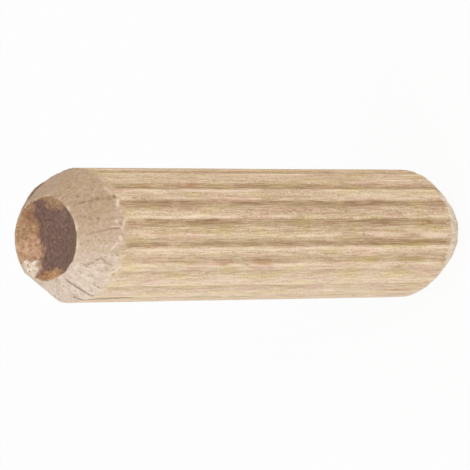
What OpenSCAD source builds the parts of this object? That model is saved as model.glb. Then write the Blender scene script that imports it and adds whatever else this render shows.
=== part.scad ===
// Fluted wooden dowel pin, turned from one piece of straight-grained hardwood.
// It stands along Z on its clean end, with its broken end up.
// The origin is on the axis at the clean end face. Sizes are in mm and angles in degrees.
// A turn is the angle about the pin from +X towards +Y.
// Left and right are as seen from the front, at -Y.

/* [Pin] */
// Diameter over the lands between the flutes
pin_d = 8; // [6:0.5:12]
// Length over both ends
pin_len = 35; // [20:1:60]

/* [Flutes] */
// Number of straight flutes around the wall
flute_count = 22; // [12:2:28]
// Width of a flute where it opens at the wall
flute_w = 0.46; // [0.3:0.02:0.8]
// Depth of a flute below the wall
flute_depth = 0.15; // [0.1:0.01:0.3]

/* [Clean end] */
// Length of the chamfer along the pin
clean_chamfer_len = 2.65; // [1:0.05:4]
// Diameter of the flat face inside the chamfer
clean_face_d = 5.3; // [3:0.1:5.8]

/* [Broken end] */
// Length of the chamfer along the pin
broken_chamfer_len = 2.15; // [1:0.05:4]
// Diameter of the face inside the chamfer
broken_face_d = 5; // [3:0.1:5.8]
// Shift of the chamfer's axis off the pin's axis
broken_chamfer_shift = 0.18; // [0:0.01:0.4]
// Turn of that shift
broken_chamfer_turn = -173; // [-180:1:180]
// Lean of the chamfer's axis from the pin's axis
broken_chamfer_lean = 2.9; // [0:0.1:6]
// Turn towards which it leans, inside the pin
broken_chamfer_lean_turn = 74; // [-180:1:180]
// Diameter of the hollow where the end grain tore out
hollow_d = 4.2; // [2:0.1:4.4]
// Depth of that hollow below the face
hollow_depth = 0.7; // [0.2:0.05:1.4]
// Shift of the hollow from the face's centre
hollow_shift = 0.25; // [0:0.05:0.6]
// Turn of that shift
hollow_turn = 88; // [-180:1:180]
// Distance of the left flat that split off the chamfer, in the face's plane from its centre
left_flat_reach = 2.58; // [2:0.02:3]
// Slope of the left flat to the pin's axis
left_flat_slope = 26.5; // [20:0.5:45]
// Turn of the left flat
left_flat_turn = 146; // [-180:1:180]
// Distance of the right flat that split off the chamfer, in the face's plane from its centre
right_flat_reach = 2.4; // [2:0.02:3]
// Slope of the right flat to the pin's axis
right_flat_slope = 32.5; // [20:0.5:45]
// Turn of the right flat
right_flat_turn = 17; // [-180:1:180]

/* [Hidden] */
$fn = 96;

wood_colour = [0.80, 0.68, 0.52];

// A flute is an arc whose chord is its width and whose rise is its depth
flute_r = (pow(flute_w / 2, 2) + pow(flute_depth, 2)) / (2 * flute_depth);
flute_centre = pin_d / 2 - flute_depth + flute_r;
flute_pitch = 360 / flute_count;

// The hollow is a cap of a ball
hollow_r = (pow(hollow_d / 2, 2) + pow(hollow_depth, 2)) / (2 * hollow_depth);

// Length by which a chamfer's cone starts outside its end face
cone_lead = 0.5;

// Moves its children off the pin's axis
module off_axis(shift, turn) {
    translate(shift * [cos(turn), sin(turn), 0])
        children();
}

// Puts children that start at z = 0 on the broken end, with their +Z into the pin
module at_broken_end() {
    off_axis(broken_chamfer_shift, broken_chamfer_turn)
        translate([0, 0, pin_len])
            mirror([0, 0, 1])
                children();
}

// Cross-section of the pin, with one flute on +X
module fluted_section() {
    difference() {
        circle(d = pin_d);
        for (i = [0 : flute_count - 1])
            rotate(i * flute_pitch)
                translate([flute_centre, 0])
                    circle(r = flute_r);
    }
}

// Cone that has an end face's size at z = 0 and reaches past the other end
module end_cone(face_d, chamfer_len) {
    widening = (pin_d - face_d) / chamfer_len;
    near_d = face_d - widening * cone_lead;
    far_d = face_d + widening * pin_len;
    translate([0, 0, -cone_lead])
        cylinder(h = pin_len + cone_lead, d1 = near_d, d2 = far_d);
}

// Block whose inner face leaves a sloping flat on a chamfer, at reach from the axis in the plane z = 0
module split_flat(turn, reach, slope) {
    rotate(turn)
        translate([reach, 0, 0])
            rotate([0, slope, 0])
                translate([0, -pin_d / 2, -pin_d / 2])
                    cube(pin_d);
}

// Ball that leaves the torn hollow in an end face at z = 0
module torn_hollow() {
    off_axis(hollow_shift, hollow_turn)
        translate([0, 0, hollow_depth - hollow_r])
            sphere(r = hollow_r);
}

// Fluted bar between its two chamfer cones
module chamfered_bar() {
    intersection() {
        linear_extrude(height = pin_len)
            fluted_section();
        end_cone(clean_face_d, clean_chamfer_len);
        at_broken_end()
            rotate([0, broken_chamfer_lean, broken_chamfer_lean_turn])
                end_cone(broken_face_d, broken_chamfer_len);
    }
}

module dowel_pin() {
    color(wood_colour)
        difference() {
            chamfered_bar();
            at_broken_end() {
                torn_hollow();
                split_flat(left_flat_turn, left_flat_reach, left_flat_slope);
                split_flat(right_flat_turn, right_flat_reach, right_flat_slope);
            }
        }
}

dowel_pin();
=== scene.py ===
"""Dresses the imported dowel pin: a raw, fluted wooden pin with one torn end, on a white floor."""

import itertools
import math
from collections import namedtuple

import bpy
import numpy as np
from mathutils import Matrix, Vector


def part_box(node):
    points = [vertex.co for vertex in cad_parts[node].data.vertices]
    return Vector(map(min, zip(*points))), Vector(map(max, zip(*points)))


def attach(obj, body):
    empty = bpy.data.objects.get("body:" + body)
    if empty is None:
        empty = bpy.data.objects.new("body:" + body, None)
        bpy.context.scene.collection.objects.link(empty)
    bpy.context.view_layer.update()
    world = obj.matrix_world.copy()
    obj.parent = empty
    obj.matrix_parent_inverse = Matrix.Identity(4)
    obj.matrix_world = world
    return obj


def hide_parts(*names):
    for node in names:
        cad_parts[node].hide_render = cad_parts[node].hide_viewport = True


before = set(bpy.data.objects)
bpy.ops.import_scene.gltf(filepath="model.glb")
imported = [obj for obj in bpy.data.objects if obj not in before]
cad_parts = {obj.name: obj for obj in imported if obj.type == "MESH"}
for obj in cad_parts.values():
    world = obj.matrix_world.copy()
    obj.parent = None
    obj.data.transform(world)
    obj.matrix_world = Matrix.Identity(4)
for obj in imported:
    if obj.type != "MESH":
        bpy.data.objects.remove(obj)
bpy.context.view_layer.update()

NODE = "dowel_pin"
MM = 0.001

# Sizes of the pin, in mm, from its box in the frame
pin_low, pin_high = (np.array(corner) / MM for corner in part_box(NODE))
pin_len = float(pin_high[2] - pin_low[2])
pin_r = float(min(-pin_low[0], pin_high[0], -pin_low[1], pin_high[1]))

# A turn is an angle about the pin, in degrees, from +X towards +Y.
# A seen angle counts from the side that faces the camera, towards the photograph's lower edge.
FACING_TURN = -92.18

# Camera, from the photograph's outline: angles in degrees, lengths in mm
VIEW_ANGLE = 41.25
PICTURE_ROLL = -0.35
CAMERA_DISTANCE = 383.6
CLIP_START = 10
PICTURE_PX = 470
FOCAL_PX = 6322
CENTRE_PX = (6.83, -0.68)
SENSOR_W = 36

# Lamps: seen angle and lift in degrees, share of full daylight, and lengths in metres
Lamp = namedtuple("Lamp", "name seen lift share")
LAMPS = (Lamp("key", -30, 18, 0.24), Lamp("fill", 70, 18, 0.16))
LAMP_DISTANCE = 0.5
LAMP_SIZE = 0.28
WORLD_LIGHT = 0.78

# Floor: radius in metres, brightness, and the share of what is seen of it that is plain white
FLOOR_R = 2.0
FLOOR_CORNERS = 96
FLOOR_TONE = 0.97
FLOOR_WHITE = 0.90

# Flutes, in mm and degrees. Lane 0 is on +X
FLUTE_COUNT = 22
FLUTE_DEPTH = 0.15
FLUTE_PITCH = 360 / FLUTE_COUNT
FLUTE_STRAY = 0.6

# Across a flute, in degrees from its middle: the end of its gentle side, its deepest place
# and the end of its steep side
Section = namedtuple("Section", "gentle deepest steep")
FLUTE_CUT = Section(-5.0, 1.0, 3.9)
# FLUTE_SHADE is the section of the flutes' painted shade, which lies over darker wood
FLUTE_SHADE = Section(-8.5, 1.8, 4.4)
# LIP_AT and LIP_WIDTH place the painted highlight along the edges of a flute
LIP_AT = 5.4
LIP_WIDTH = 1.1

# Where the flutes begin and where they have their full depth, in mm from the broken end
FLUTE_START = (2.2, 3.3)

# Unevenness along the flutes: amount, length in mm, step between neighbours and seed.
# The amounts are degrees for a flute's sides, mm for its start and shares for the rest.
Ripple = namedtuple("Ripple", "amount length step seed")
SIDE_JITTER = Ripple(0.35, 0.7, 9.1, 11)
SIDE_WANDER = Ripple(0.5, 3.1, 5.3, 12)
DEPTH_RIPPLE = Ripple(0.2, 6.0, 7.7, 13)
SHADE_RIPPLE = Ripple(0.25, 3.0, 3.3, 14)
SHADE_GRIT = Ripple(0.15, 0.8, 2.9, 17)
LIP_GAPS = Ripple(1.0, 3.0, 6.1, 15)
START_JITTER = Ripple(0.3, 0.6, 4.1, 16)
DEPTH_MEAN = 0.9
SHADE_MEAN = 0.85
LIP_SHOWS = (-0.4, 0.6)

# Plain flutes: ranges of their depth and darkness, and the share of them that are steep at side 1
PLAIN_DEPTH = (0.75, 1.0)
PLAIN_DARK = (0.60, 1.0)
PLAIN_STEEP = 0.8
LANE_SEED = 41

# Flutes that the photograph shows clearly, by lane: shares of the full depth and darkness,
# degrees off even spacing, and 1 or -1 for the side that is steep
# Their darkness is painted shade over darker wood
Flute = namedtuple("Flute", "depth dark stray steep_side")
SEEN_FLUTES = {
    21: Flute(0.6, 0.7, -5.0, 1),
    20: Flute(0.15, 0.05, 0.0, 1),
    19: Flute(0.9, 1.2, 4.2, -1),
    18: Flute(1.0, 1.2, 1.6, 1),
    17: Flute(1.0, 1.0, 0.0, 1),
    16: Flute(1.0, 1.0, -1.0, -1),
    15: Flute(0.65, 0.70, 0.1, -1),
    14: Flute(0.5, 0.4, 2.8, 1),
    13: Flute(0.45, 0.45, 2.0, 1),
    12: Flute(0.3, 0.25, 0.0, 1),
}

# Chamfers: lengths in mm, turns in degrees, shift of the cone off the pin's axis in mm,
# and its lean in mm for each mm inwards
Chamfer = namedtuple("Chamfer", "length face_r bulge shift turn lean lean_turn")
BROKEN = Chamfer(
    length=2.16, face_r=2.48, bulge=0.08, shift=0.18, turn=-173, lean=0.075, lean_turn=76)
CLEAN = Chamfer(
    length=2.60, face_r=2.52, bulge=0.05, shift=0.15, turn=FACING_TURN + 30, lean=0, lean_turn=0)

# Border of a chamfer with the wall, in mm: its rounding, the heights of the cone over the wall
# at which the cut wood's colour has faded out, the blotches in that fade, and its range in fades
EDGE_WEAR = 0.05
BROKEN_FADE = 0.30
CLEAN_FADE = 0.12
FADE_BLOTCH = 0.10
FADE_RANGE = (-1, 0.2)

# Flats split off the broken chamfer: turn in degrees, distance from the face's centre in mm
# and slope in degrees. A flat cuts only where its cosine to a place is above FLAT_FACING.
Flat = namedtuple("Flat", "turn reach slope")
SPLIT_FLATS = (Flat(146, 2.58, 26.5), Flat(17, 2.40, 32.5))
FLAT_FACING = 0.3

# Crack along the broken chamfer, in seen degrees round the pin and mm from the face:
# its place and wander, the drop of the wood below it in mm, the degrees past it at which
# that drop has gone and begins to go, and its dark line
CRACK_SEEN = 63
CRACK_ENDS = (0.3, 2.3)
CRACK_END_BLUR = 0.2
CRACK_WANDER = 1.2
CRACK_WAVE = 0.7
CRACK_DROP = 0.07
CRACK_STEP = 0.6
CRACK_REGAINED = (38, 12)
# The crack's dark line is the crack with the painted shadow of its step
CRACK_LINE_AT = 0.2
CRACK_LINE_WIDTH = 0.9

# Thin marks: each end in mm from the broken end and a seen angle, then width in mm and strength.
# A seen angle counts as a length at STROKE_R from the axis.
Stroke = namedtuple("Stroke", "from_end seen to_end to_seen width strength")
STROKE_R = 3.5
MM_PER_DEGREE = math.radians(STROKE_R)

# Dark pores, nicks and splits of the broken chamfer; the last line runs on along the wall as painted
# shade at a flute's edge
SCARS_AND_SHADE = (
    Stroke(0.80, -51, 0.82, -50, 0.08, 0.5), Stroke(0.62, -41.5, 0.88, -40.5, 0.08, 0.6),
    Stroke(1.10, -38, 1.26, -37.5, 0.08, 0.5), Stroke(1.50, -38.2, 1.58, -38.2, 0.10, 0.7),
    Stroke(1.84, -36.5, 1.90, -36.5, 0.10, 0.5), Stroke(2.10, -35, 2.20, -35, 0.10, 0.5),
    Stroke(2.44, -35.2, 2.52, -35, 0.10, 1.0), Stroke(0.78, -19, 0.82, -19, 0.09, 0.5),
    Stroke(1.16, -17.8, 1.20, -17.8, 0.09, 0.5), Stroke(0.70, -13, 0.80, -13.2, 0.09, 0.4),
    Stroke(1.20, -24.5, 1.22, -24.5, 0.08, 0.4), Stroke(0.52, -1.5, 1.36, -5, 0.06, 0.5),
    Stroke(1.36, -5, 2.1, -7, 0.06, 0.3), Stroke(1.90, -6.8, 2.24, -6.4, 0.05, 0.7),
    Stroke(2.20, -12.0, 2.44, -8.5, 0.07, 0.5), Stroke(0.62, 34, 1.00, 29, 0.07, 0.5),
    Stroke(1.12, 25.2, 1.32, 22.2, 0.08, 0.5), Stroke(1.32, 22.2, 1.58, 24.8, 0.08, 0.5),
    Stroke(1.58, 24.8, 2.02, 27.2, 0.07, 0.4), Stroke(2.30, 35.2, 2.40, 35, 0.08, 0.5),
    Stroke(1.60, 77, 2.40, 72.5, 0.06, 0.8), Stroke(2.40, 72.5, 6.10, 70.5, 0.06, 0.9),
)

# Painted shade: a frayed dark line at the outline of the broken chamfer, and a short one at the
# clean chamfer
EDGE_SHADE = (
    Stroke(0.15, -141, 0.40, -136, 0.11, 1.1), Stroke(0.40, -136, 1.04, -133.5, 0.14, 1.2),
    Stroke(1.04, -133.5, 2.10, -129, 0.14, 1.2), Stroke(2.10, -129, 2.60, -124, 0.11, 0.8),
    Stroke(32.5, -44, 32.9, -38, 0.12, 0.9),
)

# Brown lines along the wall's grain
WALL_LINES = (
    Stroke(4.4, -13, 6.8, -12.9, 0.05, 0.8), Stroke(8.9, -12.8, 10.9, -13.1, 0.05, 0.8),
    Stroke(10.9, 22.8, 12.4, 23.4, 0.05, 0.8), Stroke(13.4, 23.5, 16.0, 23.3, 0.05, 1.0),
    Stroke(13.7, 26.9, 13.9, 26.9, 0.08, 1.0), Stroke(14.2, 29.4, 15.4, 30, 0.05, 0.6),
    Stroke(8.6, 32.5, 10.2, 32.7, 0.05, 0.5), Stroke(16.2, 33.6, 17.8, 33.8, 0.05, 0.6),
    Stroke(15.2, 51, 18.8, 52, 0.05, 0.5), Stroke(11.8, 70.3, 14.3, 73, 0.05, 0.6),
    Stroke(16.2, -45.8, 17.1, -46.6, 0.06, 0.8), Stroke(12.6, -27.5, 13.4, -27.9, 0.06, 0.7),
    Stroke(8.1, -30.1, 9.1, -30.1, 0.06, 0.6), Stroke(4.0, -34, 20.0, -34, 0.14, 0.3),
    Stroke(15.0, -20.3, 28.0, -18, 0.10, 0.4), Stroke(6.0, -2.6, 28.0, -3.2, 0.06, 0.45),
    Stroke(30.6, -10.8, 32.3, -9, 0.07, 0.8), Stroke(29.4, 6.9, 32.4, 8, 0.06, 0.9),
    Stroke(5.0, 31, 30.0, 31.6, 0.14, 0.25), Stroke(24.4, 4.6, 27.1, 4.9, 0.06, 0.8),
    Stroke(22.3, -0.8, 23.6, -0.6, 0.10, 0.6), Stroke(27.6, 31.1, 28.4, 31.2, 0.05, 0.9),
)

# Olive stains along the wall
STAINS = (
    Stroke(5.4, -1.7, 7.3, -1.7, 0.14, 1.0), Stroke(9.4, -3, 11.6, -3, 0.14, 1.0),
    Stroke(24.0, -44.5, 30.5, -44, 0.16, 0.8), Stroke(28.8, -3.8, 31.0, -4, 0.18, 0.9),
    Stroke(23.3, 24, 25.9, 24.5, 0.18, 0.8), Stroke(28.2, 9, 30.1, 9, 0.16, 0.7),
)

# Painted highlights: pale stretches of the wall's lands
GLEAMS = (
    Stroke(26.2, -57.5, 31.0, -54.5, 0.22, 1.2), Stroke(23.9, -36.2, 32.3, -35.4, 0.16, 0.8),
    Stroke(4.0, 0.2, 28.0, 1.3, 0.10, 0.6), Stroke(28.8, 1.2, 32.2, 1.6, 0.18, 1.3),
    Stroke(26.9, 68.5, 30.4, 67.8, 0.12, 1.0),
)

# Pale raised chips of the broken chamfer
CHIPS = (
    Stroke(2.26, -46, 2.44, -38.5, 0.10, 0.5), Stroke(2.62, -36, 2.80, -36, 0.07, 0.6),
    Stroke(2.62, -31, 2.42, -26.8, 0.09, 1.0), Stroke(2.12, -12.6, 2.18, -12.2, 0.10, 1.0),
    Stroke(2.78, -14, 2.36, -6.2, 0.07, 0.9), Stroke(1.86, -8, 2.22, -7.4, 0.05, 0.9),
    Stroke(2.24, 2, 2.30, 3.2, 0.10, 0.9), Stroke(2.06, 7, 1.78, 12.5, 0.06, 0.7),
    Stroke(2.66, 27, 2.04, 36.2, 0.07, 0.8), Stroke(0.30, 60, 1.20, 57, 0.06, 0.5),
)

# Strength of marks that noise breaks up: its mean, and how far it swings
Swing = namedtuple("Swing", "mean amount")
LINE_STRENGTH = Swing(0.75, 0.5)
STAIN_STRENGTH = Swing(0.7, 0.5)
SHADE_STRENGTH = Swing(0.85, 0.35)
FLECK_STRENGTH = Swing(1, 0.5)

# Brown flecks on the wall: mm from the broken end, seen angle in degrees, length in mm.
# Their width is in degrees.
Fleck = namedtuple("Fleck", "from_end seen length")
FLECKS = (
    Fleck(5.7, -48.2, 1.2), Fleck(10.1, -49.5, 0.9), Fleck(22.5, -45.5, 0.8),
    Fleck(11.8, 26.7, 1.0), Fleck(15.5, 26.2, 1.8), Fleck(29.9, 61, 3.2),
)
FLECK_WIDTH = 1.6
FLECK_GRAIN_MM = 0.3
FLECK_GRAIN_DEGREES = 1.2

# Relief of the side, in mm: fibres and waves of the wall, lumps and grit of the cut chamfers,
# and the marks on both
FIBRE_RELIEF = 0.018
WAVE_RELIEF = 0.010
LUMP_RELIEF = 0.03
GRIT_RELIEF = 0.015
WALL_SCAR_DEPTH = 0.05
CUT_SCAR_DEPTH = 0.04
LINE_DEPTH = 0.02
CHIP_RISE = 0.02

# Share of the flutes' depth that goes on into the chamfers, and of their darkness that stops there
FLUTE_TRACE = 0.15
FLUTE_FADE = 0.8

# Noise on the side: length along the pin and width across it, in mm, and a seed
Grain = namedtuple("Grain", "along across seed")
FIBRES = Grain(5.0, 0.22, 21)
WAVES = Grain(1.6, 0.5, 22)
LUMPS = Grain(0.5, 0.3, 23)
GRIT = Grain(0.2, 0.15, 24)
BLOTCHES = Grain(0.5, 0.4, 29)
LINE_GAPS = Grain(0.5, 0.2, 20)
EDGE_GAPS = Grain(0.6, 0.4, 26)
GLEAM_GAPS = Grain(1.5, 0.12, 30)
FRAY = Grain(0.35, 0.25, 18)
SWAY = Grain(0.3, 0.3, 19)

# Noise across the pin: sizes in mm in two directions, and a seed
FaceGrain = namedtuple("FaceGrain", "first second seed")
TUFTS = FaceGrain(0.30, 0.38, 31)
FINE_TUFTS = FaceGrain(0.13, 0.16, 32)
CHUNK_LUMPS = FaceGrain(0.22, 0.22, 37)
DARK_FRINGE = FaceGrain(0.2, 0.3, 34)
RIM_GAPS = FaceGrain(0.5, 0.5, 28)
LARGE_CHIPS = FaceGrain(0.7, 0.7, 35)
SMALL_CHIPS = FaceGrain(0.2, 0.2, 36)

# Pale edges, painted highlights: widths in mm, strength of a chamfer's border, and ranges of noise
# in which they show
EDGE_WIDTH = 0.05
EDGE_STRENGTH = 0.5
EDGE_SHOWS = (-0.2, 0.8)
RIM_WIDTH = 0.12
RIM_SHOWS = (-0.3, 0.6)
GLEAM_SHOWS = (-0.7, 0.5)

# How far the dark line's fringe frays along the pin in mm and round it in degrees
FRAY_ALONG = 0.06
FRAY_AROUND = 2.2

# Torn face, as seen: mm to the right of the pin's axis and mm down from it
CREASE_ACROSS = -1.24
CREASE_LEAN = 0.20
CREASE_DEPTH = 0.8
CREASE_WANDER = 0.08
CREASE_WAVE = 0.5

# Shape of the bowl on both sides of the crease: powers of its slopes, their blend,
# the least share of the half width that each side keeps, and the least square of that half width
LEFT_POWER = 0.9
RIGHT_POWER = 2.2
CREASE_BLEND = 0.15
CREASE_MARGIN = 0.2
LEAST_SQUARE = 0.01

# Patches of the torn face: places and sizes in mm, then blur, raggedness and seed
Patch = namedtuple("Patch", "across down half_width half_height blur ragged seed")
PALE_CHUNK = Patch(-1.36, 2.00, 0.60, 0.62, 0.3, 0.45, 51)
# The ledge and the warm strip are painted light on walls of the bowl
TAN_LEDGE = Patch(0.60, -1.98, 0.95, 0.42, 0.95, 0.6, 52)
WARM_STRIP = Patch(0.45, 2.42, 0.95, 0.42, 0.95, 0.6, 53)
SPLINTER = Patch(-1.50, -0.25, 0.06, 0.40, 0.6, 0.4, 56)
TORN_HUES = {
    "olive": (Patch(2.25, 0.75, 0.50, 1.20, 0.9, 0.6, 54),),
    "red": (
        Patch(1.95, -1.35, 0.24, 0.34, 0.8, 0.5, 55),
        Patch(-1.72, -1.20, 0.30, 0.75, 0.9, 0.6, 57),
    ),
    "blush": (Patch(-1.60, 0.85, 0.75, 0.60, 0.95, 0.6, 58),),
}
PATCH_GRAIN = 0.25

# Relief of the torn face in mm, the share of the fine tufts in it,
# and the shares of the bowl that its chunk and ledge fill
TUFT_RELIEF = 0.05
FINE_TUFT_SHARE = 0.6
CHUNK_RELIEF = 0.12
CHUNK_FILL = 0.85
LEDGE_FILL = 0.4

# The dark floor is painted shade over darker end grain
# Dark floor of the torn face: mm right of the crease where it starts and is full, its wander,
# how much paler the ledge is and how red its border is
DARK_EDGE = (-0.18, 0.24)
DARK_WANDER = 0.14
LEDGE_PALENESS = 0.5
RED_BORDER = 2.4

# Rim of the torn face: how far it is chipped back in mm, the large chips' share of that,
# how far down the chamfer it reaches in mm, and the share of the face over which the rim
# goes over into the torn relief
RIM_CHIP = 0.06
LARGE_CHIP_SHARE = 0.75
LARGE_CHIP_SHOWS = (0.0, 0.8)
RIM_REACH = 0.4
RIM_SHARE = 0.12

# Mesh density: samples across one flute in degrees, and ring spacings in mm
FLUTE_SAMPLES = (0, 0.9, 1.8, 2.6, 3.2, 3.8, 4.8, 5.9, 7.0)
WALL_STEP = 0.3
BROKEN_STEP = 0.05
CLEAN_STEP = 0.1
CHAMFER_REACH = 0.5
BROKEN_FACE_RINGS = 38
CLEAN_FACE_RINGS = 12

# Gloss and bump of the wood: roughness of its dark and pale fibres, and the bump's height in mm
ROUGHNESS = (0.9, 0.72)
SPECULAR = 0.25
BUMP_STRENGTH = 0.4
BUMP_HEIGHT = 0.05

# Large odd numbers that scatter a cell's place and seed
HASH_FACTORS = (374761393, 668265263, 1440662683, 1274126177)
HASH_SPREAD = 1103515245
HASH_MASK = 0xFFFFFFFF


def cell_value(*cell):
    """A repeatable number from 0 to 1 for each cell, given as three whole numbers and a seed."""
    mixed = sum(number * factor for number, factor in zip(cell, HASH_FACTORS)) & HASH_MASK
    mixed = ((mixed ^ (mixed >> 13)) * HASH_SPREAD) & HASH_MASK
    return ((mixed ^ (mixed >> 16)) & HASH_MASK) / HASH_MASK


def noise(x, y, z, seed):
    """Smooth noise from -1 to 1 whose features are about 1 across."""
    x, y, z = np.broadcast_arrays(x, y, z)
    cells = [np.floor(v).astype(np.int64) for v in (x, y, z)]
    fades = []
    for value, cell in zip((x, y, z), cells):
        part = value - cell
        fades.append(part * part * (3 - 2 * part))
    total = np.zeros(x.shape)
    for corner in itertools.product((0, 1), repeat=3):
        weight = np.ones(x.shape)
        for fade, side in zip(fades, corner):
            weight = weight * (fade if side else 1 - fade)
        total += weight * cell_value(*(cell + side for cell, side in zip(cells, corner)), seed)
    return 2 * total - 1


def smooth_min(a, b, blend):
    """The smaller of two fields, rounded over where they are closer than blend."""
    near = np.maximum(blend - np.abs(a - b), 0) / blend
    return np.minimum(a, b) - near * near * blend / 4


def smooth_step(low, high, value):
    """0 at low, 1 at high and an even curve between them."""
    part = np.clip((value - low) / (high - low), 0, 1)
    return part * part * (3 - 2 * part)


def hump(value, centre, reach):
    """1 at the centre, falling to nothing a few reaches away."""
    return np.exp(-((value - centre) / reach) ** 2)


def between(limits, share):
    """The value at a share of the way between two limits."""
    low, high = limits
    return low + (high - low) * share


def swung(swing, value):
    """A strength that swings with noise."""
    return swing.mean + swing.amount * value


def as_share(value):
    """Noise brought to the range from 0 to 1."""
    return 0.5 + 0.5 * value


def wrapped(turn):
    """A turn in degrees brought to the range from -180 to 180."""
    return (turn + 180) % 360 - 180


def on_pin(turn, radius):
    """X and Y of a point at a turn and a radius, in mm."""
    return radius * np.cos(np.radians(turn)), radius * np.sin(np.radians(turn))


def as_seen(x, y):
    """A place across the pin as the photograph shows it: mm right of the axis and mm down."""
    facing_x, facing_y = on_pin(FACING_TURN, 1)
    return x * facing_x + y * facing_y, x * facing_y - y * facing_x


# The flutes' numbers
lanes = np.arange(FLUTE_COUNT)


def lane_draw(number):
    """A repeatable number from 0 to 1 for each flute."""
    return cell_value(lanes, number, 0, LANE_SEED)


# How far each flute strays from even spacing, how deep and dark it is, and which side is steep
lane_stray = FLUTE_STRAY * (2 * lane_draw(0) - 1)
lane_depth = between(PLAIN_DEPTH, lane_draw(1))
lane_dark = between(PLAIN_DARK, lane_draw(2))
lane_side = np.where(lane_draw(3) < PLAIN_STEEP, 1, -1)
for seen_lane, flute in SEEN_FLUTES.items():
    lane_depth[seen_lane] = flute.depth
    lane_dark[seen_lane] = flute.dark
    lane_stray[seen_lane] += flute.stray
    lane_side[seen_lane] = flute.steep_side


def hollow(away, section):
    """1 at the deepest place of a flute, falling to 0 at both its sides."""
    gentle_side = smooth_step(section.gentle, section.deepest, away)
    return gentle_side * smooth_step(section.steep, section.deepest, away)


def ripples(height, strand, ripple):
    """Unevenness along the flutes, of its own for each numbered strand."""
    return ripple.amount * noise(height / ripple.length, strand * ripple.step, 0, ripple.seed)


def flutes(height, turn):
    """Depth of the flutes in mm, and the fields of their dark floors, painted shade over darker
    wood, and of their pale lips, painted highlights.
    """
    index = np.round(turn / FLUTE_PITCH)
    lane = (index % FLUTE_COUNT).astype(np.int64)
    away = (turn - index * FLUTE_PITCH - lane_stray[lane]) * lane_side[lane]
    side = lane + np.where(away > 0, 0.5, 0)
    away = away + ripples(height, side, SIDE_JITTER) + ripples(height, side, SIDE_WANDER)
    fullness = lane_depth[lane] * (DEPTH_MEAN + ripples(height, lane, DEPTH_RIPPLE))
    depth = FLUTE_DEPTH * fullness * hollow(away, FLUTE_CUT)
    # Painted shade over darker wood in the flutes
    shade = SHADE_MEAN + ripples(height, lane, SHADE_RIPPLE) + ripples(height, side, SHADE_GRIT)
    dark = lane_dark[lane] * shade * hollow(away, FLUTE_SHADE)
    # Painted highlights along the edges of the flutes
    painted_highlight = smooth_step(*LIP_SHOWS, ripples(height, side, LIP_GAPS)) * hump(away, LIP_AT, LIP_WIDTH)
    start = smooth_step(*FLUTE_START, pin_len - height + ripples(height, lane, START_JITTER))
    return depth * start, np.clip(dark, 0, 1) * start, painted_highlight * start


def cone_radius(chamfer, from_end, turn):
    """Radius of a slightly convex chamfer cone that is shifted off the pin's axis and leans."""
    part = from_end / chamfer.length
    rise = 4 * chamfer.bulge * np.where(part < 1, part * (1 - part), 1 - part)
    shift = chamfer.shift * np.cos(np.radians(turn - chamfer.turn))
    lean = chamfer.lean * from_end * np.cos(np.radians(turn - chamfer.lean_turn))
    return chamfer.face_r + (pin_r - chamfer.face_r) * part + rise + shift + lean


def flat_radius(from_end, turn, flat):
    """Radius of the plane that a split flat leaves along the broken chamfer."""
    away = flat.reach + from_end * math.tan(math.radians(flat.slope))
    away = away + BROKEN.shift * math.cos(math.radians(flat.turn - BROKEN.turn))
    facing = np.cos(np.radians(turn - flat.turn))
    return np.where(facing > FLAT_FACING, away / np.maximum(facing, FLAT_FACING), pin_r * 2)


def broken_radius(from_end, turn):
    """Radius of the broken chamfer with its split flats."""
    radius = cone_radius(BROKEN, from_end, turn)
    for flat in SPLIT_FLATS:
        radius = np.minimum(radius, flat_radius(from_end, turn, flat))
    return radius


def crack(from_end, seen):
    """Drop of the wood below the crack in mm, and the field of the crack's dark line, which is the
    crack with the painted shadow of its step.
    """
    low, high = CRACK_ENDS
    along = smooth_step(low - CRACK_END_BLUR, low + CRACK_END_BLUR, from_end)
    along = along * smooth_step(high + CRACK_END_BLUR, high - CRACK_END_BLUR, from_end)
    past = seen - CRACK_SEEN - CRACK_WANDER * noise(from_end / CRACK_WAVE, 0, 0, 25)
    fall = smooth_step(-CRACK_STEP, CRACK_STEP, past)
    drop = CRACK_DROP * along * fall * smooth_step(*CRACK_REGAINED, past)
    return drop, along * hump(past, CRACK_LINE_AT, CRACK_LINE_WIDTH)


def strokes(from_end, seen, marks):
    """The field of a group of thin marks."""
    found = np.zeros(from_end.shape)
    for mark in marks:
        run = mark.to_end - mark.from_end
        sweep = (mark.to_seen - mark.seen) * MM_PER_DEGREE
        along = from_end - mark.from_end
        around = wrapped(seen - mark.seen) * MM_PER_DEGREE
        part = np.clip((along * run + around * sweep) / (run ** 2 + sweep ** 2), 0, 1)
        away = np.hypot(along - part * run, around - part * sweep)
        found = np.maximum(found, mark.strength * hump(away, 0, mark.width))
    return found


def flecks(from_end, seen):
    """The field of the brown flecks on the wall."""
    fringe = noise(from_end / FLECK_GRAIN_MM, seen / FLECK_GRAIN_DEGREES, 0, 27)
    ragged = swung(FLECK_STRENGTH, fringe)
    found = np.zeros(from_end.shape)
    for fleck in FLECKS:
        along = hump(from_end, fleck.from_end, fleck.length / 2)
        found = np.maximum(found, along * hump(seen, fleck.seen, FLECK_WIDTH) * ragged)
    return np.clip(found, 0, 1)


def side_noise(place, grain):
    """Smooth noise from -1 to 1 on the side, at a place given as height, X and Y."""
    height, x, y = place
    return noise(height / grain.along, x / grain.across, y / grain.across, grain.seed)


def face_noise(first, second, grain):
    """Smooth noise from -1 to 1 at a place across the pin."""
    return noise(first / grain.first, second / grain.second, 0, grain.seed)


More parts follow.
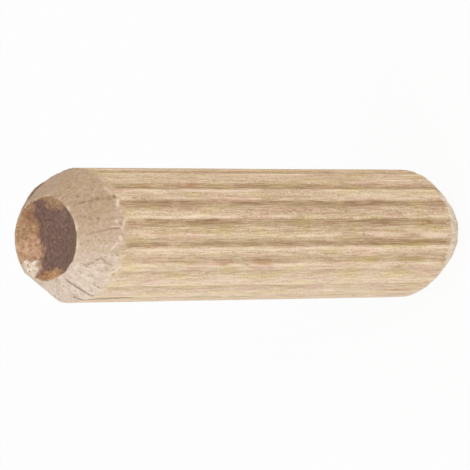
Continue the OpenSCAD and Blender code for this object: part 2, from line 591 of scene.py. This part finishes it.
def pale_edges(place, from_broken, seen, overlap):
    """The field of the painted highlights: pale chamfer borders, torn rim and gleams."""
    border = EDGE_STRENGTH * hump(overlap, 0, EDGE_WIDTH)
    border = border * smooth_step(*EDGE_SHOWS, side_noise(place, EDGE_GAPS))
    x, y = place[1:]
    rim = hump(from_broken, 0, RIM_WIDTH) * smooth_step(*RIM_SHOWS, face_noise(x, y, RIM_GAPS))
    gleams = strokes(from_broken, seen, GLEAMS)
    gleams = gleams * smooth_step(*GLEAM_SHOWS, side_noise(place, GLEAM_GAPS))
    return np.maximum.reduce([border, rim, gleams])


def edge_shade(place, from_broken, seen):
    """The field of the painted shade: frayed dark lines at the chamfers' outline."""
    fray = side_noise(place, FRAY)
    frayed_seen = seen + FRAY_AROUND * side_noise(place, SWAY)
    shade = strokes(from_broken + FRAY_ALONG * fray, frayed_seen, EDGE_SHADE)
    return shade * swung(SHADE_STRENGTH, fray)


def side_surface(height, turn):
    """Radius of the pin's side in mm, and its fields."""
    place = (height, *on_pin(turn, pin_r))
    from_broken = pin_len - height
    seen = wrapped(FACING_TURN - turn)
    flute_depth, dark, painted_highlight = flutes(height, turn)
    crack_drop, crack_line = crack(from_broken, seen)
    scars_and_shade = strokes(from_broken, seen, SCARS_AND_SHADE)
    chips = strokes(from_broken, seen, CHIPS)
    lines = strokes(from_broken, seen, WALL_LINES)
    lines = lines * swung(LINE_STRENGTH, side_noise(place, LINE_GAPS))

    # The fluted wall, as if it went on to both ends
    fibre = as_share(side_noise(place, FIBRES))
    wave = as_share(side_noise(place, WAVES))
    wall = pin_r - flute_depth - FIBRE_RELIEF * fibre - WAVE_RELIEF * wave
    wall = wall - WALL_SCAR_DEPTH * scars_and_shade - LINE_DEPTH * lines

    # The chamfers, as if they went on past the wall
    cut = np.minimum(broken_radius(from_broken, turn) - crack_drop, cone_radius(CLEAN, height, turn))
    cut = cut - LUMP_RELIEF * side_noise(place, LUMPS) - FLUTE_TRACE * flute_depth
    cut = cut - GRIT_RELIEF * side_noise(place, GRIT) - CUT_SCAR_DEPTH * scars_and_shade + CHIP_RISE * chips

    # Where the side is cut, with a blotchy border
    blotch = side_noise(place, BLOTCHES)
    near_clean = from_broken > height
    fade = np.where(near_clean, CLEAN_FADE, BROKEN_FADE)
    chamfer = smooth_step(*FADE_RANGE, (wall - cut + FADE_BLOTCH * blotch) / fade)

    edges = pale_edges(place, from_broken, seen, wall - cut)
    shade = edge_shade(place, from_broken, seen)
    fields = {
        "flute": dark * (1 - FLUTE_FADE * chamfer),
        "painted_highlight": np.maximum(painted_highlight * (1 - chamfer), edges),
        "line": lines * (1 - chamfer),
        "stain": strokes(from_broken, seen, STAINS) * swung(STAIN_STRENGTH, blotch),
        "chip": chips,
        "scar_and_shade": np.maximum.reduce([crack_line, scars_and_shade, shade]),
        "chamfer": chamfer,
        "clean": chamfer * near_clean,
        "fleck": flecks(from_broken, seen) * (1 - chamfer),
    }
    return smooth_min(wall, cut, EDGE_WEAR), fields


def patch(across, down, place):
    """1 inside a ragged oval patch of the torn face, and 0 outside it."""
    reach_across = (across - place.across) / place.half_width
    reach_down = (down - place.down) / place.half_height
    ragged = place.ragged * noise(across / PATCH_GRAIN, down / PATCH_GRAIN, 0, place.seed)
    reach = reach_across ** 2 + reach_down ** 2
    return smooth_step(1 + place.blur, 1 - place.blur, reach + ragged)


def torn_bowl(across, down):
    """Depth in mm of the bowl under the torn face, and how far right of its crease a place is."""
    centre_across, centre_down = as_seen(*on_pin(BROKEN.turn, BROKEN.shift))
    level = np.clip((down - centre_down) / BROKEN.face_r, -1, 1)
    half = BROKEN.face_r * np.sqrt(np.maximum(1 - level ** 2, LEAST_SQUARE))
    left = centre_across - half
    right = centre_across + half
    margin = CREASE_MARGIN * half
    crease = np.clip(CREASE_ACROSS + CREASE_LEAN * down, left + margin, right - margin)
    crease = crease + CREASE_WANDER * noise(down / CREASE_WAVE, 0, 0, 33)
    left_slope = np.clip((across - left) / (crease - left), 0, 1) ** LEFT_POWER
    right_slope = 1 - (1 - np.clip((right - across) / (right - crease), 0, 1)) ** RIGHT_POWER
    slopes = smooth_min(left_slope, right_slope, CREASE_BLEND)
    return CREASE_DEPTH * np.sqrt(1 - level ** 2) * slopes, across - crease


def torn_face(x, y):
    """Depth of the torn face below its plane in mm, and its fields."""
    across, down = as_seen(x, y)
    bowl, past_crease = torn_bowl(across, down)
    chunk = patch(across, down, PALE_CHUNK)
    ledge = patch(across, down, TAN_LEDGE)
    strip = patch(across, down, WARM_STRIP)
    splinter = patch(across, down, SPLINTER)

    tufts = face_noise(across, down, TUFTS)
    tufts = tufts + FINE_TUFT_SHARE * face_noise(across, down, FINE_TUFTS)
    depth = bowl * (1 - CHUNK_FILL * chunk) * (1 - LEDGE_FILL * ledge) + TUFT_RELIEF * (1 + tufts)
    depth = depth + CHUNK_RELIEF * chunk * face_noise(across, down, CHUNK_LUMPS)

    # Painted shade over darker end grain on the bowl's floor right of the crease, lifted at the
    # chunk, the ledge and the strip
    wander = DARK_WANDER * face_noise(across, down, DARK_FRINGE)
    dark = smooth_step(*DARK_EDGE, past_crease + wander)
    dark = dark * (1 - chunk) * (1 - LEDGE_PALENESS * ledge) * (1 - strip)
    fields = {"dark": dark, "pale": chunk, "tan": ledge, "warm": np.maximum(strip, splinter)}
    for name, places in TORN_HUES.items():
        fields[name] = np.maximum.reduce([patch(across, down, place) for place in places])
    fields["red"] = np.maximum(fields["red"], RED_BORDER * dark * (1 - dark))
    return np.maximum(depth, 0), fields


def rim_chip(turn):
    """How far the torn face's rim is chipped back, in mm."""
    x, y = on_pin(turn, BROKEN.face_r)
    large = smooth_step(*LARGE_CHIP_SHOWS, face_noise(x, y, LARGE_CHIPS))
    small = as_share(face_noise(x, y, SMALL_CHIPS))
    return RIM_CHIP * (LARGE_CHIP_SHARE * large + (1 - LARGE_CHIP_SHARE) * small)


def ring_turns():
    """Turns of the samples round the pin, in degrees, closest together at the flutes' sides."""
    half = FLUTE_PITCH / 2
    steps = np.array([-s for s in FLUTE_SAMPLES[:0:-1]] + list(FLUTE_SAMPLES) + [half])
    follow = 1 - np.abs(steps) / half
    rows = [lane * FLUTE_PITCH + steps + follow * lane_stray[lane] for lane in lanes]
    return np.concatenate(rows)


def ring_heights():
    """Heights of the rings along the pin, in mm, closest together at the chamfers."""
    clean_top = CLEAN.length + CHAMFER_REACH
    broken_start = pin_len - BROKEN.length - CHAMFER_REACH
    clean = np.arange(0, clean_top, CLEAN_STEP)
    wall = np.arange(clean_top, broken_start, WALL_STEP)
    broken = np.append(np.arange(broken_start, pin_len, BROKEN_STEP), pin_len)
    return np.concatenate([clean, wall, broken])


def face_rings(count, edge, centre):
    """Rings of points from a face's edge in to just outside its centre."""
    shares = np.linspace(1, 0, count + 1)[1:-1, None]
    return [c + shares * (e[None, :] - c) for e, c in zip(edge, centre)]


def grid_faces(ring_count, around):
    """Quads between the rings of a closed grid, and the fans of triangles at its two ends."""
    here = np.arange(around)
    there = (here + 1) % around
    last = (ring_count - 1) * around
    first_centre = ring_count * around
    faces = []
    for ring in range(ring_count - 1):
        low, high = ring * around, (ring + 1) * around
        faces += np.stack([low + here, low + there, high + there, high + here], -1).tolist()
    faces += [(first_centre, there[i], here[i]) for i in range(around)]
    faces += [(first_centre + 1, last + here[i], last + there[i]) for i in range(around)]
    return faces


def pin_mesh():
    """Points in metres, faces and fields of the pin: its clean face, its side and its torn face."""
    height, turn = np.meshgrid(ring_heights(), ring_turns(), indexing="ij")
    near_face = np.clip(1 - (pin_len - height) / RIM_REACH, 0, 1)
    height = height - rim_chip(turn) * near_face
    radius, side_fields = side_surface(height, turn)
    x, y = on_pin(turn, radius)

    clean_centre = on_pin(CLEAN.turn, CLEAN.shift)
    clean_rings = face_rings(CLEAN_FACE_RINGS, (x[0], y[0]), clean_centre)
    clean_x, clean_y = (rings[::-1] for rings in clean_rings)
    clean_z = np.zeros(clean_x.shape)

    torn_centre = on_pin(BROKEN.turn, BROKEN.shift)
    torn_x, torn_y = face_rings(BROKEN_FACE_RINGS, (x[-1], y[-1]), torn_centre)
    torn_depth, torn_fields = torn_face(torn_x, torn_y)
    inside = smooth_step(0, RIM_SHARE, np.linspace(0, 1, BROKEN_FACE_RINGS)[1:, None])
    torn_z = pin_len - torn_depth * inside - rim_chip(turn[:1]) * (1 - inside)

    grid = np.concatenate([
        np.stack([clean_x, clean_y, clean_z], -1),
        np.stack([x, y, height], -1),
        np.stack([torn_x, torn_y, torn_z], -1),
    ])
    centres = [(*clean_centre, 0), (*torn_centre, float(torn_z[-1].mean()))]
    points = np.concatenate([grid.reshape(-1, 3), centres])

    def spread(clean, side, torn):
        """One field over the clean face, the side, the torn face and the faces' centres."""
        parts = ((clean, clean_x), (side, x), (torn, torn_x))
        whole = [np.broadcast_to(part, rows.shape).ravel() for part, rows in parts]
        return np.concatenate(whole + [whole[0][:1], whole[2][-1:]])

    fields = {name: spread(0.0, field, 0.0) for name, field in side_fields.items()}
    fields["chamfer"] = spread(1.0, side_fields["chamfer"], 1.0)
    fields["clean"] = spread(1.0, side_fields["clean"], 0.0)
    fields["torn"] = spread(0.0, 0.0, 1.0)
    for name, field in torn_fields.items():
        fields[name] = spread(0.0, 0.0, field)
    return points * MM, grid_faces(*grid.shape[:2]), fields


def build_pin(material):
    """The pin as one mesh object that stands for the CAD solid."""
    points, faces, fields = pin_mesh()
    mesh = bpy.data.meshes.new("fluted_pin")
    mesh.from_pydata(points.tolist(), [], faces)
    for name, values in fields.items():
        layer = mesh.attributes.new(name, "FLOAT", "POINT")
        layer.data.foreach_set("value", values.astype(np.float32))
    mesh.polygons.foreach_set("use_smooth", np.ones(len(mesh.polygons), dtype=bool))
    mesh.materials.append(material)
    mesh.validate()
    mesh.update()
    made = bpy.data.objects.new("fluted_pin", mesh)
    bpy.context.scene.collection.objects.link(made)
    return made


def colour(red, green, blue):
    """A colour written as 0 to 255 screen values, as the shader's own numbers."""
    def channel(value):
        part = value / 255
        return part / 12.92 if part <= 0.04045 else ((part + 0.055) / 1.055) ** 2.4
    return (channel(red), channel(green), channel(blue), 1.0)


class Paint:
    """Adds the nodes of one material or world, with inputs set or linked by name or number."""

    def __init__(self, tree):
        self.tree = tree

    def put(self, socket, value):
        """Sets a socket to a value or links it to an output."""
        if isinstance(value, bpy.types.NodeSocket):
            self.tree.links.new(value, socket)
        else:
            socket.default_value = value

    def add(self, kind, inputs=None, **settings):
        """A new node with its settings made and its inputs put."""
        made = self.tree.nodes.new(kind)
        for name, value in settings.items():
            setattr(made, name, value)
        for name, value in (inputs or {}).items():
            self.put(made.inputs[name], value)
        return made

    def math(self, operation, first, second):
        """Two numbers combined."""
        inputs = {0: first, 1: second}
        return self.add("ShaderNodeMath", inputs, operation=operation).outputs[0]

    def vector(self, operation, first, second=(0, 0, 0), output="Vector"):
        """Two vectors combined."""
        inputs = {0: first, 1: second}
        return self.add("ShaderNodeVectorMath", inputs, operation=operation).outputs[output]

    def ramp(self, value, low, high, start=0.0, end=1.0):
        """An even curve from start to end as a value goes from low to high."""
        return self.add("ShaderNodeMapRange", {
            "Value": value, "From Min": low, "From Max": high, "To Min": start, "To Max": end,
        }, interpolation_type="SMOOTHSTEP").outputs[0]

    def blend(self, share, first, second):
        """Two numbers mixed by a share."""
        return self.add("ShaderNodeMix", {0: share, 2: first, 3: second}).outputs[0]

    def mix(self, share, first, second, blend_type="MIX"):
        """Two colours mixed by a share."""
        made = self.add("ShaderNodeMix", data_type="RGBA", blend_type=blend_type)
        for number, value in ((0, share), (6, first), (7, second)):
            self.put(made.inputs[number], value)
        return made.outputs[2]

    def field(self, name):
        """One of the mesh's own fields."""
        return self.add("ShaderNodeAttribute", attribute_name=name).outputs["Fac"]

    def over(self, tone, name, share, top):
        """A colour with another laid over it, by a share of one of the mesh's fields."""
        return self.mix(self.math("MULTIPLY", self.field(name), share), tone, top)

    def place(self):
        """The place on the pin, in metres."""
        return self.add("ShaderNodeTexCoord").outputs["Object"]

    def wall_place(self):
        """The place on the wall straight out from the axis, so that grain runs down a chamfer."""
        level = self.vector("MULTIPLY", self.place(), (1, 1, 0))
        outward = self.vector("MULTIPLY", self.vector("NORMALIZE", level), (pin_r * MM,) * 3)
        return self.vector("ADD", outward, self.vector("MULTIPLY", self.place(), (0, 0, 1)))

    def grain(self, along, across, detail=3.0, place=None):
        """Noise whose features have a length along the pin and a width across it, in mm."""
        scale = (1 / across / MM, 1 / across / MM, 1 / along / MM)
        mapping = self.add("ShaderNodeMapping", {"Vector": place or self.place(), "Scale": scale})
        return self.add("ShaderNodeTexNoise", {
            "Vector": mapping.outputs[0], "Scale": 1.0, "Detail": detail, "Roughness": 0.6,
        }).outputs["Fac"]


def seen_direction(seen, lift=0.0):
    """The direction at a seen angle about the pin, lifted by degrees above the level."""
    level_x, level_y = on_pin(FACING_TURN - seen, math.cos(math.radians(lift)))
    return Vector((level_x, level_y, math.sin(math.radians(lift))))


def wall_tone(paint, lowness, streaks, fibres):
    """The colour of the fluted wall."""
    # Lands: paler towards the photograph's lower edge, with long streaks and short fibres
    # Painted light and shade: the lands are paler towards the photograph's lower edge, and browner
    # at the top edge
    tone = paint.mix(paint.ramp(lowness, -0.1, 0.95), colour(213, 187, 156), colour(240, 219, 194))
    tone = paint.mix(paint.ramp(lowness, -0.75, -1.0, 0.0, 0.6), tone, colour(202, 170, 126))
    tone = paint.mix(streaks, tone, paint.mix(0.6, tone, colour(236, 215, 184)))
    # Painted light: the fibres, pores and grit that follow darken the wall less towards the
    # photograph's lower edge
    coarse = paint.ramp(lowness, -0.1, 0.7, 1.0, 0.75)
    dim_tone = paint.mix(paint.math("MULTIPLY", coarse, 0.5), tone, colour(172, 140, 102))
    tone = paint.mix(fibres, dim_tone, tone)

    # Gleaming fibres, pores and grit
    gleams = paint.ramp(paint.grain(2.2, 0.10, 2.0), 0.58, 0.72, 0.0, 0.65)
    tone = paint.mix(gleams, tone, colour(246, 224, 192))
    pores = paint.ramp(paint.grain(0.8, 0.07, 2.0), 0.58, 0.70, 0.0, 0.75)
    tone = paint.mix(paint.math("MULTIPLY", pores, coarse), tone, colour(154, 118, 80))
    grit = paint.grain(0.22, 0.11, 2.0)
    dark_grit = paint.math("MULTIPLY", paint.ramp(grit, 0.56, 0.70, 0.0, 0.55), coarse)
    pale_grit = paint.math("MULTIPLY", paint.ramp(grit, 0.44, 0.30, 0.0, 0.55), coarse)
    tone = paint.mix(dark_grit, tone, colour(166, 134, 96))
    tone = paint.mix(pale_grit, tone, colour(246, 224, 196))
    # Painted highlights along the flutes' edges, the chamfers' borders, the torn rim and the gleams
    tone = paint.over(tone, "painted_highlight", 0.6, colour(244, 224, 196))

    # Flutes with floors of painted shade over darker olive-brown wood, then brown lines and flecks
    floor_tone = paint.mix(fibres, colour(150, 121, 86), colour(192, 165, 129))
    tone = paint.over(tone, "flute", 0.85, floor_tone)
    tone = paint.over(tone, "line", 0.85, colour(142, 106, 70))
    tone = paint.over(tone, "fleck", 0.65, colour(178, 128, 78))

    # Patches of pink and olive over the whole wall
    hue = paint.grain(3.0, 0.55, 0.5)
    tone = paint.mix(paint.ramp(hue, 0.48, 0.70), tone, colour(255, 247, 252), "MULTIPLY")
    tone = paint.mix(paint.ramp(hue, 0.48, 0.28), tone, colour(252, 252, 236), "MULTIPLY")
    return paint.over(tone, "stain", 0.45, colour(190, 168, 100))


def cut_tone(paint, lowness, streaks, slope_grain):
    """The colour of the chamfers, where the fibres are cut."""
    # Mottled broken chamfer, paler towards the photograph's lower edge, with pink and olive patches
    mottle = paint.ramp(paint.grain(0.30, 0.18), 0.28, 0.72)
    mottle = paint.blend(0.4, mottle, slope_grain)
    # Painted light and shade: a shaded copy of the cut wood at the top and a lit copy towards the
    # photograph's lower edge
    shaded_cut = paint.mix(mottle, colour(169, 141, 113), colour(205, 176, 147))
    lit_cut = paint.mix(mottle, colour(222, 203, 185), colour(245, 229, 214))
    tone = paint.mix(paint.ramp(lowness, -0.4, 0.9), shaded_cut, lit_cut)
    hue = paint.grain(0.9, 0.6)
    tone = paint.mix(paint.ramp(hue, 0.50, 0.70, 0.0, 0.45), tone, colour(216, 184, 174))
    tone = paint.mix(paint.ramp(hue, 0.48, 0.30, 0.0, 0.45), tone, colour(194, 176, 142))

    # Clean chamfer
    clean_cut = paint.mix(slope_grain, colour(212, 194, 171), colour(246, 232, 212))
    tone = paint.mix(paint.field("clean"), tone, clean_cut)

    # Streaks, fibres and pores of both, and traces of the flutes' painted shade
    tone = paint.mix(paint.ramp(streaks, 0, 1, 0.30, 0.0), tone, colour(188, 158, 126))
    cut_fibres = paint.ramp(paint.grain(1.1, 0.10, 2.0), 0.56, 0.72, 0.0, 0.45)
    tone = paint.mix(cut_fibres, tone, colour(166, 136, 106))
    cut_pores = paint.ramp(paint.grain(0.22, 0.14, 2.0), 0.58, 0.72, 0.0, 0.70)
    tone = paint.mix(cut_pores, tone, colour(150, 120, 92))
    tone = paint.over(tone, "flute", 0.8, colour(170, 142, 114))
    # Painted highlights along the chamfers' borders and the torn rim
    return paint.over(tone, "painted_highlight", 0.7, colour(240, 221, 196))


def torn_tone(paint):
    """The colour of the torn end: a warm wall painted as lit, a floor of painted shade over darker
    end grain, and a pale torn chunk.
    """
    tufts = paint.ramp(paint.grain(0.3, 0.2), 0.3, 0.7)
    # Painted light and shade: the wall's colour as lit, and its shaded copy for the floor over
    # darker end grain
    tone = paint.mix(tufts, colour(156, 118, 84), colour(210, 174, 136))
    dark = paint.mix(tufts, colour(116, 88, 80), colour(152, 122, 108))
    hue = paint.grain(0.5, 0.35, 2.0)
    pink = paint.ramp(hue, 0.52, 0.66, 0.0, 0.6)
    olive = paint.ramp(hue, 0.48, 0.34, 0.0, 0.6)
    tone = paint.mix(pink, tone, colour(204, 152, 126))
    tone = paint.mix(olive, tone, colour(184, 156, 102))
    dark = paint.mix(pink, dark, colour(136, 104, 98))
    dark = paint.mix(olive, dark, colour(122, 100, 80))
    tone = paint.mix(paint.field("dark"), tone, dark)

    # Ledge and warm strip painted as lit walls of the bowl, a warm splinter, and patches of hue
    tan = paint.mix(tufts, colour(158, 128, 88), colour(206, 174, 128))
    warm = paint.mix(tufts, colour(184, 134, 92), colour(232, 188, 142))
    blush = paint.mix(tufts, colour(186, 138, 106), colour(236, 196, 166))
    tone = paint.over(tone, "tan", 0.8, tan)
    tone = paint.over(tone, "warm", 0.8, warm)
    tone = paint.over(tone, "olive", 0.6, colour(132, 108, 74))
    tone = paint.over(tone, "red", 0.4, colour(150, 98, 82))
    tone = paint.over(tone, "blush", 0.7, blush)

    # Pale chunk with dark pits
    pale = paint.mix(tufts, colour(222, 194, 166), colour(255, 242, 224))
    pits = paint.ramp(paint.grain(0.26, 0.24, 1.0), 0.63, 0.71)
    pale = paint.mix(pits, pale, colour(136, 104, 74))
    return paint.mix(paint.field("pale"), tone, pale)


def wood_material():
    """Raw straight-grained hardwood with dark flutes, cut chamfers and a torn end."""
    material = bpy.data.materials.new("raw_wood")
    material.use_nodes = True
    paint = Paint(material.node_tree)
    shader = material.node_tree.nodes["Principled BSDF"]

    # How far a place on the wall lies towards the photograph's lower edge, from -1 to 1
    down = seen_direction(90) / (pin_r * MM)
    lowness = paint.vector("DOT_PRODUCT", paint.place(), down, "Value")

    # Grain that several colours share
    streaks = paint.ramp(paint.grain(6.0, 0.35), 0.3, 0.7)
    fibres = paint.ramp(paint.grain(1.8, 0.08), 0.40, 0.64)
    slope_grain = paint.ramp(paint.grain(1.6, 0.13, place=paint.wall_place()), 0.32, 0.68)

    tone = wall_tone(paint, lowness, streaks, fibres)
    cut = cut_tone(paint, lowness, streaks, slope_grain)
    tone = paint.mix(paint.field("chamfer"), tone, cut)
    tone = paint.over(tone, "chip", 0.75, colour(248, 226, 200))
    # Dark nicks and cracks, and painted shade at the chamfers' outline, the crack's step and a
    # flute's edge
    tone = paint.over(tone, "scar_and_shade", 0.9, colour(116, 90, 68))
    tone = paint.mix(paint.field("torn"), tone, torn_tone(paint))
    paint.put(shader.inputs["Base Color"], tone)
    paint.put(shader.inputs["Roughness"], paint.ramp(fibres, 0, 1, *ROUGHNESS))
    shader.inputs["Specular IOR Level"].default_value = SPECULAR

    cut_relief = paint.blend(paint.field("clean"), paint.grain(0.2, 0.15), slope_grain)
    relief = paint.blend(paint.field("chamfer"), paint.grain(2.4, 0.10), cut_relief)
    bump = paint.add("ShaderNodeBump", {
        "Height": relief, "Strength": BUMP_STRENGTH, "Distance": BUMP_HEIGHT * MM})
    paint.put(shader.inputs["Normal"], bump.outputs[0])
    return material


def pin_centre():
    """The middle of the pin, in metres."""
    return Vector((0, 0, pin_len / 2 * MM))


def camera_axes():
    """Right, down and forward of the photograph's camera, in the pin's frame."""
    view, roll = math.radians(VIEW_ANGLE), math.radians(PICTURE_ROLL)
    across = math.sin(view)
    axis = Vector((across * math.cos(roll), across * math.sin(roll), math.cos(view)))
    side = axis.cross(Vector((0, -1, 0))).normalized()
    below = axis.cross(side)
    seen = Matrix((axis, side, below)).transposed()
    real = Matrix((Vector((0, 0, -1)), seen_direction(0), seen_direction(90))).transposed()
    turned = real @ seen.transposed()
    return turned.col[0].copy(), turned.col[1].copy(), turned.col[2].copy()


def add_camera():
    """The photograph's camera: a long lens that looks down along the pin from its broken end."""
    right, down, forward = camera_axes()
    px = CAMERA_DISTANCE / FOCAL_PX
    back = right * CENTRE_PX[0] * px + down * CENTRE_PX[1] * px + forward * CAMERA_DISTANCE
    data = bpy.data.cameras.new("camera")
    data.sensor_width = SENSOR_W
    data.lens = FOCAL_PX / PICTURE_PX * SENSOR_W
    data.clip_start = CLIP_START * MM
    camera = bpy.data.objects.new("camera", data)
    facing = Matrix((right, -down, -forward)).transposed().to_4x4()
    camera.matrix_world = Matrix.Translation(pin_centre() - back * MM) @ facing
    bpy.context.scene.collection.objects.link(camera)
    bpy.context.scene.camera = camera


def add_lamp(lamp):
    """A soft lamp that gives the pin its share of full daylight from one direction."""
    direction = seen_direction(lamp.seen, lamp.lift)
    data = bpy.data.lights.new(lamp.name, "AREA")
    data.shape = "DISK"
    data.size = LAMP_SIZE
    data.energy = lamp.share * math.pi ** 2 * LAMP_DISTANCE ** 2
    made = bpy.data.objects.new(lamp.name, data)
    made.location = pin_centre() + direction * LAMP_DISTANCE
    made.rotation_euler = direction.to_track_quat("Z", "Y").to_euler()
    bpy.context.scene.collection.objects.link(made)


def seen_directly(paint):
    """1 for what the camera sees, straight or in gloss or glass, and 0 for light on the scene."""
    path = paint.add("ShaderNodeLightPath").outputs
    either = paint.math("MAXIMUM", path["Is Camera Ray"], path["Is Glossy Ray"])
    return paint.math("MAXIMUM", either, path["Is Transmission Ray"])


def add_world():
    """Even light all round, seen as plain white."""
    world = bpy.data.worlds.new("studio")
    bpy.context.scene.world = world
    world.use_nodes = True
    paint = Paint(world.node_tree)
    background = world.node_tree.nodes["Background"]
    background.inputs["Color"].default_value = (1, 1, 1, 1)
    strength = paint.ramp(seen_directly(paint), 0, 1, WORLD_LIGHT, 1.0)
    paint.put(background.inputs["Strength"], strength)


def add_floor():
    """A wide white floor under the pin that keeps a soft shadow."""
    bpy.ops.mesh.primitive_circle_add(
        vertices=FLOOR_CORNERS, radius=FLOOR_R, fill_type="NGON", location=(0, 0, pin_low[2] * MM))
    floor = bpy.context.object
    floor.name = "floor"
    material = bpy.data.materials.new("white_floor")
    material.use_nodes = True
    nodes = material.node_tree.nodes
    nodes.remove(nodes["Principled BSDF"])
    paint = Paint(material.node_tree)
    lit_colour = (FLOOR_TONE, FLOOR_TONE, FLOOR_TONE, 1)
    lit = paint.add("ShaderNodeBsdfDiffuse", {"Color": lit_colour}).outputs[0]
    white = paint.add("ShaderNodeEmission", {"Color": (1, 1, 1, 1), "Strength": 1.0}).outputs[0]
    share = paint.math("MULTIPLY", seen_directly(paint), FLOOR_WHITE)
    both = paint.add("ShaderNodeMixShader", {0: share, 1: lit, 2: white}).outputs[0]
    paint.put(nodes["Material Output"].inputs["Surface"], both)
    floor.data.materials.append(material)


pin = build_pin(wood_material())
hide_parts(NODE)
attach(pin, "root")

add_camera()
for lamp_kind in LAMPS:
    add_lamp(lamp_kind)
add_world()
add_floor()
bpy.context.scene.view_settings.view_transform = "Standard"
